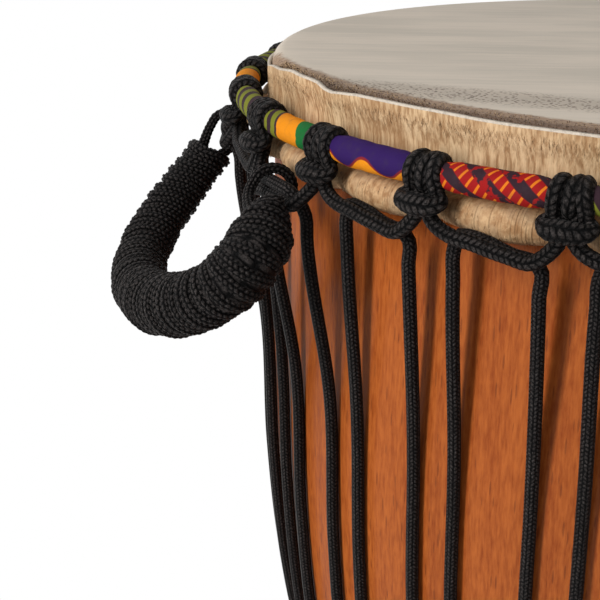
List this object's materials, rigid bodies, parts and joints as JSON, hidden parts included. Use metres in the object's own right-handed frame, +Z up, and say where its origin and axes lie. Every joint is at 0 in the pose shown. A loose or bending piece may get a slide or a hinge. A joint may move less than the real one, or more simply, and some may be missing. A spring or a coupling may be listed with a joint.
{
  "type": "djembe",
  "caption": "Goblet-shaped hand drum: carved wooden shell, goatskin head lashed by iron rings and black knotted cord, and a swinging rope carrying handle.",
  "frame": {"origin": "centre of the foot rim, on the floor", "axes": "+Z up along the drum's axis, the carrying handle points along -X"},
  "size_m": [0.4077, 0.367, 0.6222],
  "materials": {
    "shell_wood": "varnished red-brown hardwood with fine upright grain",
    "goatskin": "raw goatskin, shaved on top and hairy on the collar",
    "ring_iron": "plain iron rod",
    "printed_cotton": "printed cotton strips in violet, orange, green and red",
    "black_cord": "black braided cord"
  },
  "bodies": {
    "drum": {"shell": "shell_wood", "drum_head": "goatskin", "flesh_ring": "ring_iron", "crown_ring": "ring_iron", "bottom_ring": "ring_iron", "crown_ring_cloth": "printed_cotton", "crown_ring_cord": "black_cord", "bottom_ring_cord": "black_cord", "lacing": "black_cord"},
    "handle": {"handle_core": "black_cord", "handle_cover": "black_cord"}
  },
  "joints": [
    {"name": "handle_swing", "type": "hinge", "parent": "drum", "child": "handle", "pos_m": [-0.17654, 0, 0.58905], "axis": [0, 1, 0], "range_deg": [-30, 80]}
  ]
}
